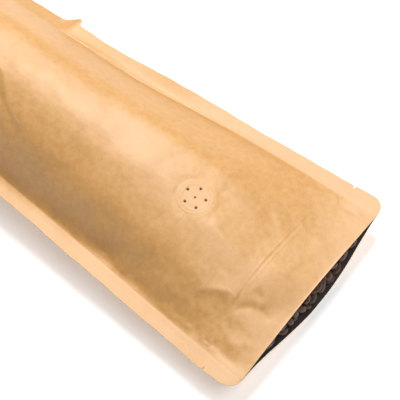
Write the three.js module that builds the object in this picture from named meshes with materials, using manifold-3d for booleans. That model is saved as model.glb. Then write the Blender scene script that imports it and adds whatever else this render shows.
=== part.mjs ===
// Kraft stand-up pouch, opened and lying on its back with its front panel up. Millimetres, +Z up.
// The pouch runs along Y: its open mouth faces -Y, its bottom gusset +Y, and X goes across it.
// It holds a press-to-close zip, a degassing valve behind the front panel, and roasted beans.

import * as THREE from "three";
import { mergeVertices } from "three/addons/utils/BufferGeometryUtils.js";
import Module from "manifold-3d";

const wasm = await Module();
wasm.setup();

// ---------------------------------------------------------------- driving dimensions

const SIDE_LENGTH = 280; // mouth to bottom rim, along a side seal
const SEAL_WIDTH = 10; // heat-sealed band down each side
const GUSSET_DEPTH = 45; // half the width of the folded bottom gusset
const BOTTOM_SEAL = 8; // bottom seal at its middle
const WALL = 0.8; // one layer of the laminate
const GAP = 0.45; // clearance between a wall and what lies on it

// The filled form at three stations: the mouth, the middle and the top of the gusset.
const STATION_PITCH = 110;
const HALF_WIDTH = [77.5, 69.3, 60.8]; // centre line to the outer edge of the side seal
const SEAL_HEIGHT = [23.3, 26.2, 33.3]; // side seal above the ground
const CROWN_HEIGHT = [28.3, 61, 76.6]; // middle of the front panel above the ground

const MOUTH_BLEND = 75; // length over which the flat mouth swells into the filled body
const LIP_SLOPE = 0.14; // slope of the front panel just behind the mouth
const MOUTH_SKEW = 0.5; // the mouth gapes more on its +X side
const RESTING_SHARE = 1.06; // how hard the back is pressed flat by the contents

const CORNER_RADIUS = 9.5; // rounded corners of the mouth
const FOOT_RADIUS = 6; // rounded corners of the bottom rim
const EAR_STEP = 3; // the four-layer edge beside the gusset stands out by this
const EAR_START = 232; // from the mouth
const EAR_RUN = 3;

const NOTCH_FROM_MOUTH = 23; // tear notches
const NOTCH_DEPTH = 2.6;
const NOTCH_WIDTH = 2.2;

const ZIP_FROM_MOUTH = 32.7;
const ZIP_FLANGE = 11; // width of each zip strip
const ZIP_FLANGE_THICKNESS = 0.4;
const ZIP_RIB = 1.6; // height of the mating ribs
const ZIP_RIB_WIDTH = 1.2;
const ZIP_RIB_PITCH = 4;
const ZIP_REACH = 0.88; // share of the mouth's width that the strips cross

const VALVE_FROM_MOUTH = 85.7;
const VALVE_RADIUS = 11.2;
const VALVE_FLANGE = 1.1; // thickness
const VALVE_CUP_RADIUS = 7.2;
const VALVE_CUP_DEPTH = 3.4;
const VALVE_CUP_WALL = 0.9;
const VALVE_DROP = 1.7; // below the crown, so that the flat disc clears the curved panel
const VENT_RADIUS = 0.5; // pinholes through the front panel
const VENT_CIRCLE = 6.6;
const VENT_COUNT = 5;
const VENT_TURN = 79; // degrees

const HEAP_START = 1.5; // beans, from the mouth
const HEAP_MOUTH_HEIGHT = 9;
const HEAP_SLOPE = 0.5;
const HEAP_REACH = 0.9; // share of the inner half width that the beans fill in the body
const HEAP_MOUTH_REACH = [-0.42, 0.55]; // and in the trough of the mouth
const HEAP_CLEARANCE = 1; // from the walls
const HEAP_RIPPLE = 1.1;
const HEAP_RIPPLE_PITCH = 13;

// ---------------------------------------------------------------- form of the pouch

const clamp = (value, low, high) => Math.min(high, Math.max(low, value));
const mix = (a, b, t) => a + (b - a) * t;
const range = (count) => Array.from({ length: count }, (_, i) => i);

function smoothstep(low, high, value) {
  const t = clamp((value - low) / (high - low), 0, 1);
  return t * t * (3 - 2 * t);
}

// The parabola through the values of the three stations.
function alongPouch([mouth, middle, gusset], y) {
  const a = y / STATION_PITCH;
  return (mouth * (a - 1) * (a - 2)) / 2 - middle * a * (a - 2) + (gusset * a * (a - 1)) / 2;
}

const halfChord = (y) => alongPouch(HALF_WIDTH, y) - SEAL_WIDTH;
const sealHeight = (y) => alongPouch(SEAL_HEIGHT, y);

// The front panel leaves the mouth nearly flat and then swells over the contents.
function crownHeight(y) {
  const lip = CROWN_HEIGHT[0] + LIP_SLOPE * y;
  return mix(lip, alongPouch(CROWN_HEIGHT, y), smoothstep(0, MOUTH_BLEND, y));
}

// Height of the two panels' inner faces at the share s of the half chord, -1 to 1.
function frontHeight(s, y) {
  const open = clamp(1 - s * s, 0, 1);
  const rise = mix(open ** 1.5, open, smoothstep(0, MOUTH_BLEND, y));
  return mix(sealHeight(y), crownHeight(y), rise);
}

function backHeight(s, y) {
  const open = clamp(1 - s * s, 0, 1);
  const gape = clamp(open * open * (1 + MOUTH_SKEW * s), 0, 1);
  const resting = clamp(RESTING_SHARE * (1 - s ** 4), 0, 1);
  const sag = mix(gape, resting, smoothstep(0, MOUTH_BLEND, y));
  return mix(sealHeight(y), WALL, sag);
}

// Outer edge of the side band, with its rounded corners and the ear beside the gusset.
function outerEdge(y) {
  const edge = alongPouch(HALF_WIDTH, y) + EAR_STEP * smoothstep(EAR_START, EAR_START + EAR_RUN, y);
  const rounding = (radius, reach) =>
    reach < radius ? radius - Math.sqrt(radius ** 2 - (radius - reach) ** 2) : 0;
  return edge - rounding(CORNER_RADIUS, y) - rounding(FOOT_RADIUS, SIDE_LENGTH - y);
}

// ---------------------------------------------------------------- closed meshes

// Vertices that meet are merged, and triangles that closed up are dropped.
function solidOf(geometry) {
  const bare = geometry.clone();
  bare.deleteAttribute("normal");
  bare.deleteAttribute("uv");
  const merged = mergeVertices(bare, 1e-4);
  const index = merged.index.array;
  const kept = [];
  for (let i = 0; i < index.length; i += 3) {
    const [a, b, c] = index.slice(i, i + 3);
    if (a !== b && b !== c && c !== a) kept.push(a, b, c);
  }
  return new wasm.Manifold(
    new wasm.Mesh({
      numProp: 3,
      vertProperties: merged.attributes.position.array,
      triVerts: new Uint32Array(kept),
    }),
  );
}

function geometryOf(solid) {
  const mesh = solid.getMesh();
  const geometry = new THREE.BufferGeometry();
  geometry.setAttribute("position", new THREE.BufferAttribute(mesh.vertProperties, mesh.numProp));
  geometry.setIndex(new THREE.BufferAttribute(mesh.triVerts, 1));
  geometry.computeVertexNormals();
  return geometry;
}

// A closed solid through rings of equal length, each turning clockwise seen from the ring before it.
// A cap lists the triangles that fill a ring; a ring that has closed up on itself needs none.
function ringSolid(rings, firstCap, lastCap) {
  const count = rings[0].length;
  const last = (rings.length - 1) * count;
  const triangles = [];
  for (let j = 0; j + 1 < rings.length; j++) {
    for (let i = 0; i < count; i++) {
      const a = j * count + i;
      const b = j * count + ((i + 1) % count);
      triangles.push([a, b, b + count], [a, b + count, a + count]);
    }
  }
  for (const [a, b, c] of firstCap) triangles.push([a, c, b]);
  for (const [a, b, c] of lastCap) triangles.push([last + a, last + b, last + c]);
  const geometry = new THREE.BufferGeometry();
  geometry.setAttribute("position", new THREE.Float32BufferAttribute(rings.flat(2), 3));
  geometry.setIndex(triangles.flat());
  return solidOf(geometry);
}

// A ring goes along the upper points to +X and back along the lower ones.
const loop = (upper, lower, right = [], left = []) => [
  ...upper,
  ...right,
  ...[...lower].reverse(),
  ...left,
];

// The strip of triangles between the upper and lower points of such a ring.
function stripCap(facets, edgePoints = 0) {
  const lower = (i) => 2 * facets + 1 + edgePoints - i;
  return range(facets).flatMap((i) => [
    [i, i + 1, lower(i + 1)],
    [i, lower(i + 1), lower(i)],
  ]);
}

const NO_CAP = [];

// ---------------------------------------------------------------- pouch

const ACROSS = 22; // facets across a panel
const PANEL_STEPS = 16; // facets along the hollow
const FOLD_STEPS = 5; // facets from the bottom rim to the gusset's fold

// Shares of the half chord, closer together towards the seals, where the panels turn down.
const CROWDING = 0.75 * (Math.PI / 2);
const spreadShare = (i) => Math.sin(CROWDING * ((2 * i) / ACROSS - 1)) / Math.sin(CROWDING);
const shares = range(ACROSS + 1).map(spreadShare);

const stations = [
  ...[0, 1, 3, 6, CORNER_RADIUS, NOTCH_FROM_MOUTH, ZIP_FROM_MOUTH],
  ...range(12).map((i) => 48 + i * 14),
  ...[216, EAR_START, EAR_START + EAR_RUN, 247, 261],
  ...[SIDE_LENGTH - FOOT_RADIUS, SIDE_LENGTH - 2, SIDE_LENGTH - 0.4, SIDE_LENGTH],
];

// Slope of a panel across the pouch. The seal itself lies flat.
function slopeAcross(height, s, y) {
  if (Math.abs(s) > 0.999) return 0;
  const step = 0.01;
  return (height(s + step, y) - height(s - step, y)) / (2 * step * halfChord(y));
}

// A point of a panel's outer face: the inner face moved out by one wall, in the plane across.
function outerPoint(height, outward, s, y) {
  const slope = slopeAcross(height, s, y);
  const offset = (outward * WALL) / Math.hypot(1, slope);
  return [s * halfChord(y) - slope * offset, y, height(s, y) + offset];
}

function outerBlock() {
  const rings = stations.map((y) => {
    const edge = outerEdge(y);
    const top = sealHeight(y) + WALL;
    const bottom = sealHeight(y) - WALL;
    return loop(
      shares.map((s) => outerPoint(frontHeight, 1, s, y)),
      shares.map((s) => outerPoint(backHeight, -1, s, y)),
      [
        [edge, y, top],
        [edge, y, bottom],
      ],
      [
        [-edge, y, bottom],
        [-edge, y, top],
      ],
    );
  });
  const right = ACROSS + 1; // first point of the +X edge
  const left = 2 * ACROSS + 4; // first point of the -X edge
  const cap = [
    ...stripCap(ACROSS, 2),
    [right - 1, right, right + 1],
    [right - 1, right + 1, right + 2],
    [0, left - 1, left],
    [0, left, left + 1],
  ];
  return ringSolid(rings, cap, cap);
}

// Half the distance between the panels' inner faces at the bottom rim.
const halfThickness = (s) =>
  (frontHeight(s, SIDE_LENGTH) - backHeight(s, SIDE_LENGTH)) / 2;

// How far the gusset's fold reaches in from the rim: each half of the gusset keeps its width.
const foldDepth = (s) => Math.sqrt(Math.max(0, GUSSET_DEPTH ** 2 - halfThickness(s) ** 2));
const foldShape = (t) => 1 - Math.abs(2 * t - 1) ** 1.5;

// Where the hollow ends on the panels: the curved bottom seal, which climbs to the side seals.
const CORNER_SEAL = GUSSET_DEPTH + 10;
const hollowEnd = (s) => SIDE_LENGTH - mix(BOTTOM_SEAL, CORNER_SEAL, s ** 4);

// And where it ends on the fold, one layer of the gusset short of it. The layer slants across
// the length of the pouch, so that it measures more along it where the fold is deep.
const STEEPEST_LAYER = 12;

function hollowFold(s) {
  const layer = WALL * Math.min(STEEPEST_LAYER, GUSSET_DEPTH / Math.max(halfThickness(s), 1));
  return Math.min(hollowEnd(s), SIDE_LENGTH - foldDepth(s) - layer);
}

function hollow() {
  const beyondMouth = -1;
  const point = (s, y, z) => [s * halfChord(y), y, z];
  const onPanels = range(PANEL_STEPS + 1).map((j) => {
    const at = (s) => mix(beyondMouth, hollowEnd(s), j / PANEL_STEPS);
    return loop(
      shares.map((s) => point(s, at(s), frontHeight(s, Math.max(0, at(s))))),
      shares.map((s) => point(s, at(s), backHeight(s, Math.max(0, at(s))))),
    );
  });
  const onGusset = range(FOLD_STEPS).map((k) => {
    const t = (k + 1) / (2 * FOLD_STEPS);
    const at = (s) => mix(hollowEnd(s), hollowFold(s), foldShape(t));
    const height = (s, share) =>
      mix(frontHeight(s, hollowEnd(s)), backHeight(s, hollowEnd(s)), share);
    return loop(
      shares.map((s) => point(s, at(s), height(s, t))),
      shares.map((s) => point(s, at(s), height(s, 1 - t))),
    );
  });
  return ringSolid([...onPanels, ...onGusset], stripCap(ACROSS), NO_CAP);
}

// The recess under the bottom, between the two halves of the gusset.
function gussetRecess() {
  const reach = 0.985;
  const beyondRim = 1;
  const rings = range(FOLD_STEPS + 1).map((k) => {
    const t = (FOLD_STEPS - k) / (2 * FOLD_STEPS);
    const side = (share) =>
      shares.map((full) => {
        const s = full * reach;
        const top = frontHeight(s, SIDE_LENGTH) - WALL;
        const bottom = backHeight(s, SIDE_LENGTH) + WALL;
        const y = SIDE_LENGTH + beyondRim - (foldDepth(s) + beyondRim) * foldShape(t);
        return [s * halfChord(SIDE_LENGTH), y, mix(top, bottom, share)];
      });
    return loop(side(t), side(1 - t));
  });
  return ringSolid(rings, NO_CAP, stripCap(ACROSS));
}

function tearNotch(side) {
  const edge = outerEdge(NOTCH_FROM_MOUTH);
  const outline = new THREE.Shape([
    new THREE.Vector2(edge + 1, NOTCH_FROM_MOUTH - NOTCH_WIDTH / 2),
    new THREE.Vector2(edge + 1, NOTCH_FROM_MOUTH + NOTCH_WIDTH / 2),
    new THREE.Vector2(edge - NOTCH_DEPTH, NOTCH_FROM_MOUTH),
  ]);
  const height = 6;
  const cutter = new THREE.ExtrudeGeometry(outline, { depth: height, bevelEnabled: false });
  cutter.translate(0, 0, sealHeight(NOTCH_FROM_MOUTH) - height / 2);
  if (side < 0) cutter.rotateZ(Math.PI).translate(0, 2 * NOTCH_FROM_MOUTH, 0);
  return solidOf(cutter);
}

// Slope of the front panel's crown along the pouch, where the valve sits.
const VALVE_CROWN = crownHeight(VALVE_FROM_MOUTH);
const VALVE_TILT = Math.atan(
  crownHeight(VALVE_FROM_MOUTH + 0.5) - crownHeight(VALVE_FROM_MOUTH - 0.5),
);

function ventHoles() {
  const turn = THREE.MathUtils.degToRad(VENT_TURN);
  const ring = range(VENT_COUNT).map((i) => turn + (i * 2 * Math.PI) / VENT_COUNT);
  const centres = [[0, 0], ...ring.map((a) => [VENT_CIRCLE * Math.cos(a), VENT_CIRCLE * Math.sin(a)])];
  const length = 10;
  return centres.map(([x, y]) => {
    const hole = new THREE.CylinderGeometry(VENT_RADIUS, VENT_RADIUS, length, 8);
    hole.rotateX(Math.PI / 2);
    hole.translate(x, y, 0);
    hole.rotateX(VALVE_TILT);
    hole.translate(0, VALVE_FROM_MOUTH, VALVE_CROWN);
    return solidOf(hole);
  });
}

function pouchGeometry() {
  const cuts = [hollow(), gussetRecess(), tearNotch(1), tearNotch(-1), ...ventHoles()];
  return geometryOf(cuts.reduce((shell, cut) => shell.subtract(cut), outerBlock()));
}

// ---------------------------------------------------------------- press-to-close zip

// A bar of a strip: it follows the inner face of a panel across the pouch.
// inward is -1 under the front panel and +1 on the back one; depths are from that face.
function zipBar(height, inward, offset, width, nearDepth, farDepth) {
  const steps = 26;
  const rings = range(steps + 1).map((k) => {
    const s = ZIP_REACH * ((2 * k) / steps - 1);
    const x = s * halfChord(ZIP_FROM_MOUTH);
    const corner = (along, depth) => {
      const y = ZIP_FROM_MOUTH + offset + along;
      const share = x / halfChord(y);
      const drop = (GAP + depth) * Math.hypot(1, slopeAcross(height, share, y));
      return [x, y, height(share, y) + inward * drop];
    };
    const ring = [
      corner(width / 2, nearDepth),
      corner(-width / 2, nearDepth),
      corner(-width / 2, farDepth),
      corner(width / 2, farDepth),
    ];
    return inward < 0 ? ring : ring.reverse();
  });
  const cap = [
    [0, 1, 2],
    [0, 2, 3],
  ];
  return ringSolid(rings, cap, cap);
}

function zipGeometry(height, inward, ribOffsets) {
  const ribTop = ZIP_FLANGE_THICKNESS + ZIP_RIB;
  const rib = (offset) =>
    zipBar(height, inward, offset, ZIP_RIB_WIDTH, ZIP_FLANGE_THICKNESS / 2, ribTop);
  const flange = zipBar(height, inward, 0, ZIP_FLANGE, 0, ZIP_FLANGE_THICKNESS);
  return geometryOf(ribOffsets.reduce((strip, offset) => strip.add(rib(offset)), flange));
}

// ---------------------------------------------------------------- degassing valve

// A flat flange with a shallow cup that faces the contents.
function valveGeometry() {
  const rounding = 0.3;
  const cupRounding = 0.8;
  const cupFloor = -VALVE_CUP_DEPTH + VALVE_CUP_WALL;
  const profile = [
    [0, -VALVE_CUP_DEPTH],
    [VALVE_CUP_RADIUS - cupRounding, -VALVE_CUP_DEPTH],
    [VALVE_CUP_RADIUS, -VALVE_CUP_DEPTH + cupRounding],
    [VALVE_CUP_RADIUS, -VALVE_FLANGE],
    [VALVE_RADIUS - rounding, -VALVE_FLANGE],
    [VALVE_RADIUS, -VALVE_FLANGE + rounding],
    [VALVE_RADIUS, -rounding],
    [VALVE_RADIUS - rounding, 0],
    [VALVE_CUP_RADIUS - VALVE_CUP_WALL, 0],
    [VALVE_CUP_RADIUS - VALVE_CUP_WALL, cupFloor],
    [0, cupFloor],
  ].map(([radius, height]) => new THREE.Vector2(radius, height));
  const disc = new THREE.LatheGeometry(profile, 32);
  disc.rotateX(Math.PI / 2);
  return geometryOf(solidOf(disc));
}

// ---------------------------------------------------------------- beans

// The heap keeps off the panels, and off the zip strips where they cross.
const ZIP_CROSSING = ZIP_FLANGE / 2 + 1.5;

function heapRoom(height, s, y) {
  const overZip = Math.abs(y - ZIP_FROM_MOUTH) <= ZIP_CROSSING;
  const depth = HEAP_CLEARANCE + (overZip ? ZIP_FLANGE_THICKNESS + ZIP_RIB : 0);
  return depth * Math.hypot(1, slopeAcross(height, s, y));
}

function heapTop(s, y) {
  const wave = (Math.PI * 2) / HEAP_RIPPLE_PITCH;
  const ripple = HEAP_RIPPLE * Math.sin(wave * s * halfChord(y)) * Math.cos(wave * y * 0.8);
  const level = HEAP_MOUTH_HEIGHT + HEAP_SLOPE * y + ripple;
  return Math.min(level, frontHeight(s, y) - heapRoom(frontHeight, s, y));
}

const heapBottom = (s, y) => backHeight(s, y) + heapRoom(backHeight, s, y);

function beansGeometry() {
  const facets = 14;
  const endGap = 2;
  const bodyReach = smoothReach(HEAP_REACH);
  const beforeZip = ZIP_FROM_MOUTH - ZIP_CROSSING;
  const afterZip = ZIP_FROM_MOUTH + ZIP_CROSSING;
  const lengths = [
    ...[HEAP_START, 8, 16, beforeZip - 3, beforeZip],
    ...[afterZip, afterZip + 4, 54, 64, MOUTH_BLEND],
  ];
  const steps = 10;
  const rings = range(lengths.length + steps).map((j) => {
    const at = (s) =>
      j < lengths.length
        ? lengths[j]
        : mix(lengths.at(-1), hollowFold(s) - endGap, (j - lengths.length + 1) / steps);
    const side = (height) =>
      range(facets + 1).map((i) => {
        const nominal = bodyReach(i / facets, j < lengths.length ? lengths[j] : lengths.at(-1));
        const y = at(nominal);
        return [nominal * halfChord(y), y, height(nominal, y)];
      });
    return loop(side(heapTop), side(heapBottom));
  });
  const heap = ringSolid(rings, stripCap(facets), stripCap(facets));
  return geometryOf(heap.subtract(valveRoom()));
}

// The beans stay clear of the valve's underside.
function valveRoom() {
  const clearance = 0.7;
  const height = 20;
  const radius = VALVE_RADIUS + clearance;
  const room = new THREE.CylinderGeometry(radius, radius, height, 24);
  room.rotateX(Math.PI / 2);
  room.translate(0, 0, height / 2 - VALVE_CUP_DEPTH - clearance);
  room.rotateX(VALVE_TILT);
  room.translate(0, VALVE_FROM_MOUTH, VALVE_CROWN - VALVE_DROP);
  return solidOf(room);
}

// Share of the half chord at the fraction f across the heap, narrow at the mouth and full inside.
function smoothReach(full) {
  return (f, y) => {
    const inside = smoothstep(0, MOUTH_BLEND, y);
    const low = mix(HEAP_MOUTH_REACH[0], -full, inside);
    const high = mix(HEAP_MOUTH_REACH[1], full, inside);
    return mix(low, high, f);
  };
}

// ---------------------------------------------------------------- the part

function piece(name, geometry, color, roughness, metalness = 0) {
  const mesh = new THREE.Mesh(
    geometry,
    new THREE.MeshStandardMaterial({ color, roughness, metalness }),
  );
  mesh.name = name;
  return mesh;
}

const pouch = piece("pouch", pouchGeometry(), 0xd9a871, 0.62);
const zipFront = piece("zip_strip_front", zipGeometry(frontHeight, -1, [0]), 0xe9e6dd, 0.4);
const zipBack = piece(
  "zip_strip_back",
  zipGeometry(backHeight, 1, [-ZIP_RIB_PITCH / 2, ZIP_RIB_PITCH / 2]),
  0xe9e6dd,
  0.4,
);
const valve = piece("degassing_valve", valveGeometry(), 0xe4e1d8, 0.45);
valve.position.set(0, VALVE_FROM_MOUTH, VALVE_CROWN - VALVE_DROP);
valve.rotation.x = VALVE_TILT;
const beans = piece("beans", beansGeometry(), 0x4a2a1a, 0.5);

const contents = new THREE.Group();
contents.add(pouch, zipFront, zipBack, valve, beans);

// The origin is the middle of the ground under the pouch.
const reach = new THREE.Box3().setFromObject(pouch);
contents.position.set(0, -(reach.min.y + reach.max.y) / 2, -reach.min.z);

const part = new THREE.Group();
part.add(contents);

export default part;
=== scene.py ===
"""An opened kraft stand-up pouch lying on its back, with roasted coffee beans in its mouth.

Shapes are worked out in millimetres in the pouch's own axes: x across the pouch, y from the cut
mouth to the bottom rim and z up from the ground. to_row turns them into the frame's metres.
"""

import math

import bpy
import numpy as np
from mathutils import Matrix, Vector


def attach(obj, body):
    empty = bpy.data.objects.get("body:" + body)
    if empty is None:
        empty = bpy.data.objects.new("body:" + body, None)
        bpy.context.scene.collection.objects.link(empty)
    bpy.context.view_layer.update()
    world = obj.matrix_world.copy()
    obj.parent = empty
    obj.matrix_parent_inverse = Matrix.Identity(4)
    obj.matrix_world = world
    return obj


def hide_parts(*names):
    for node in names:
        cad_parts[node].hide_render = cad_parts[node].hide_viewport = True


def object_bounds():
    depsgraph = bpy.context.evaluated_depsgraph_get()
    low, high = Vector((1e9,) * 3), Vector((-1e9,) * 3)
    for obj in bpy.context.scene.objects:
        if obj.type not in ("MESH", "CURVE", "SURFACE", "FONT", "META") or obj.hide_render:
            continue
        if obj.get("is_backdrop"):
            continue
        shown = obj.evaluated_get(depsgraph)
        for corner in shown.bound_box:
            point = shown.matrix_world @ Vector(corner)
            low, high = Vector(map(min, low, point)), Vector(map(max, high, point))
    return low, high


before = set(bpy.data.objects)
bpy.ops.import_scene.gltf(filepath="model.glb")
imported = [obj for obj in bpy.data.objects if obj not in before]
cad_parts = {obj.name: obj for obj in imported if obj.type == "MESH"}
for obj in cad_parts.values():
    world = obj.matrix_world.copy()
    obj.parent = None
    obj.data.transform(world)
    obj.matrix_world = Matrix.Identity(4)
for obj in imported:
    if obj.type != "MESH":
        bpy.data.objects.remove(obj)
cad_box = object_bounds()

# ---- sizes, in millimetres

SIDE_LENGTH = 280.0
SEAL_WIDTH = 10.0
WALL = 0.8  # from a panel's inner face to its outer face, as in the CAD
SEAL_HALF = 0.4  # half the thickness of a side seal
SHEET = 0.35  # thickness of the laminate

# Values at the mouth, the middle and the gusset, a pitch apart.
STATION_PITCH = 110.0
HALF_WIDTH = (77.5, 69.3, 60.8)
SEAL_HEIGHT = (23.3, 26.2, 33.3)
CROWN_HEIGHT = (28.3, 61.0, 76.6)
MOUTH_BLEND = 75.0  # how far in the section changes from the gaping mouth's to the filled one
LIP_SLOPE = 0.2
LIP_POINT = 1.5  # over 1 the lip rises late from the corners
MOUTH_SKEW = 0.5
RESTING_SHARE = 1.06  # over 1 the back panel lies flat on the ground in its middle

CORNER_RADIUS = 9.5
FOOT_RADIUS = 6.0
EAR_STEP = 3.0
EAR_START = 232.0
EAR_RUN = 1.6
GUSSET_DEPTH = 45.0
BOTTOM_SEAL = 8.0
CORNER_SEAL = 55.0

# Each edge's own bends: depth inwards, then where it starts, is deepest and ends.
EDGE_KINK_PLUS = (1.5, 140, 185, 233)
EDGE_DENT_MINUS = (1.3, -20, 5, 24)
EAR_TAPER = (1.2, 237, 247)  # depth, start, full
EAR_HOOK = (-1.3, 234.6, 2.6)  # depth, place, reach
# Faint unevenness of the edges and bands: size, radians per millimetre, phase on each side.
EDGE_WAVER = ((0.18, 0.11, 1), (0.1, 0.31, 2))
BAND_RIPPLE = ((0.12, 0.17, 1), (0.08, 0.43, 2))

# How far a side seal's outer edge stands above its inner one: height, place, reach.
BAND_LIFTS_PLUS = ((1.9, 160, 32), (-1.2, 215, 24), (-0.4, 60, 40))
BAND_LIFT_MINUS = (0.9, 125, 60)
BAND_WAVE_MINUS = (0.2, 0.12)  # size, radians per millimetre
FOOT_DROOP = 9.0  # how far the edges beside the gusset hang down
DROOP_PLUS = (233, 249)
DROOP_MINUS = (236, 254)

NOTCH_FROM_MOUTH = 23.0
NOTCH_DEPTH = 2.6
NOTCH_HALF_WIDTH = 0.9

ZIP_FROM_MOUTH = 32.7
ZIP_REACH = 0.88
ZIP_FLANGE = 11.0

VALVE_FROM_MOUTH = 85.7
VALVE_RADIUS = 11.2
VALVE_CUP_RADIUS = 7.2
VENT_CIRCLE = 6.6
VENT_TURN = math.radians(79)
VENT_COUNT = 5
VENT_SHIFT = (-0.3, -0.2)  # of the holes from the valve's centre
VENT_RADIUS = 0.66
MIDDLE_VENT_RADIUS = 0.5
VENT_DEPTH = 1.1

HEAP_MOUTH_HEIGHT = 9.0
HEAP_SLOPE = 0.5


def smoothstep(low, high, value):
    t = np.clip((value - low) / (high - low), 0, 1)
    return t * t * (3 - 2 * t)


def mix(a, b, t):
    return a + (b - a) * t


def along_pouch(stations, y):
    """The parabola through the values at the mouth, the middle and the gusset."""
    a = y / STATION_PITCH
    mouth, middle, gusset = stations
    return mouth * (a - 1) * (a - 2) / 2 - middle * a * (a - 2) + gusset * a * (a - 1) / 2


def half_chord(y):
    return along_pouch(HALF_WIDTH, y) - SEAL_WIDTH


def seal_height(y):
    return along_pouch(SEAL_HEIGHT, y)


def crown_height(y):
    lip = CROWN_HEIGHT[0] + LIP_SLOPE * y
    return mix(lip, along_pouch(CROWN_HEIGHT, y), smoothstep(0, MOUTH_BLEND, y))


def front_height(s, y):
    """The front panel as an even arch, where s is -1..1 across it."""
    openness = np.clip(1 - s * s, 0, 1)
    rise = mix(openness**LIP_POINT, openness, smoothstep(0, MOUTH_BLEND, y))
    return mix(seal_height(y), crown_height(y), rise)


def back_height(s, y):
    """The back panel: a skewed trough at the mouth that becomes flat on the ground further in."""
    openness = np.clip(1 - s * s, 0, 1)
    gape = np.clip(openness**2 * (1 + MOUTH_SKEW * s), 0, 1)
    resting = np.clip(RESTING_SHARE * (1 - s**4), 0, 1)
    sag = mix(gape, resting, smoothstep(0, MOUTH_BLEND, y))
    return mix(seal_height(y), WALL, sag)


def bump(value, centre, reach):
    """A bell curve, 1 at its centre."""
    return np.exp(-(((value - centre) / reach) ** 2))


def hump(y, height, centre, reach):
    return height * bump(y, centre, reach)


def tent(value, low, peak, high):
    """0 outside low..high and 1 at peak, with straight flanks."""
    return np.clip(np.minimum((value - low) / (peak - low), (high - value) / (high - peak)), 0, 1)


def uneven(waves, y, side):
    return sum(size * np.sin(y * rate + phase * side) for size, rate, phase in waves)


def outer_edge(y, side):
    """Distance of the cut edge from the centre line, on the side +1 or -1."""

    def rounding(radius, reach):
        inside = np.clip(radius - reach, 0, radius)
        return radius - np.sqrt(np.maximum(radius**2 - inside**2, 0))

    edge = along_pouch(HALF_WIDTH, y) + EAR_STEP * smoothstep(EAR_START, EAR_START + EAR_RUN, y)
    edge = edge - rounding(CORNER_RADIUS, y) - rounding(FOOT_RADIUS, SIDE_LENGTH - y)
    notch = np.clip(1 - np.abs(y - NOTCH_FROM_MOUTH) / NOTCH_HALF_WIDTH, 0, 1)
    kink_plus = EDGE_KINK_PLUS[0] * tent(y, *EDGE_KINK_PLUS[1:])
    hooked_ear = EAR_TAPER[0] * smoothstep(*EAR_TAPER[1:], y) + hump(y, *EAR_HOOK)
    dent_minus = EDGE_DENT_MINUS[0] * tent(y, *EDGE_DENT_MINUS[1:])
    shaped = np.where(side > 0, kink_plus + hooked_ear, dent_minus)
    return edge - NOTCH_DEPTH * notch - shaped + uneven(EDGE_WAVER, y, side)


def band_lift(y, side):
    plus = sum(hump(y, *lift) for lift in BAND_LIFTS_PLUS)
    plus -= FOOT_DROOP * smoothstep(*DROOP_PLUS, y)
    size, rate = BAND_WAVE_MINUS
    minus = hump(y, *BAND_LIFT_MINUS) + size * np.sin(y * rate)
    minus -= FOOT_DROOP * smoothstep(*DROOP_MINUS, y)
    return np.where(side > 0, plus, minus)


# ---- relief of the paper

random_waves = np.random.default_rng(7)


def wave_field(count, shortest, longest):
    """Waves of a soft random relief: their rates along x and y, and their phases."""
    angle = random_waves.uniform(0, math.pi, count)
    length = random_waves.uniform(shortest, longest, count)
    phase = random_waves.uniform(0, 2 * math.pi, count)
    return np.cos(angle) * 2 * math.pi / length, np.sin(angle) * 2 * math.pi / length, phase


BROAD_WAVES = wave_field(14, 38, 90)
MIDDLE_WAVES = wave_field(22, 11, 26)
FINE_WAVES = wave_field(26, 3.2, 7.5)


def relief(waves, x, y):
    """The sum of a field's waves, about 1 high."""
    kx, ky, phase = waves
    total = np.zeros(np.broadcast(x, y).shape)
    for i in range(len(phase)):
        total += np.sin(kx[i] * x + ky[i] * y + phase[i])
    return total / math.sqrt(len(phase))


def distance_to_path(x, y, path):
    """Distance to a polyline and the share of the way along it."""
    best = np.full(np.broadcast(x, y).shape, 1e9)
    share = np.zeros_like(best)
    count = len(path) - 1
    for k in range(count):
        (ax, ay), (bx, by) = path[k], path[k + 1]
        dx, dy = bx - ax, by - ay
        t = np.clip(((x - ax) * dx + (y - ay) * dy) / (dx * dx + dy * dy), 0, 1)
        d = np.hypot(x - ax - t * dx, y - ay - t * dy)
        nearer = d < best
        best = np.where(nearer, d, best)
        share = np.where(nearer, (k + t) / count, share)
    return best, share


CREASE_FADE = 0.6  # the lower, the longer a crease keeps its height towards its ends
CREASE_LIMIT = 3.2  # beyond so many times its reach a crease is gone


def crease_fade(share):
    return np.sin(math.pi * share) ** CREASE_FADE


def crease(x, y, path, height, reach, sharpness):
    """A folded ridge, or a valley if height is negative, that fades out at its two ends."""
    d, share = distance_to_path(x, y, path)
    crest = np.sqrt(d * d + sharpness**2) - sharpness
    limit = bump(d, 0, CREASE_LIMIT * reach)
    return height * crease_fade(share) * np.exp(-crest / reach) * limit


def creases(x, y, table):
    return sum(crease(x, y, *fold) for fold in table)


def dent(x, y, centre, reach, turn, depth):
    """A soft oval hollow, turned by so many degrees."""
    c, s = math.cos(math.radians(turn)), math.sin(math.radians(turn))
    u = ((x - centre[0]) * c + (y - centre[1]) * s) / reach[0]
    v = (-(x - centre[0]) * s + (y - centre[1]) * c) / reach[1]
    return -depth * np.exp(-(u * u + v * v))


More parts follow.
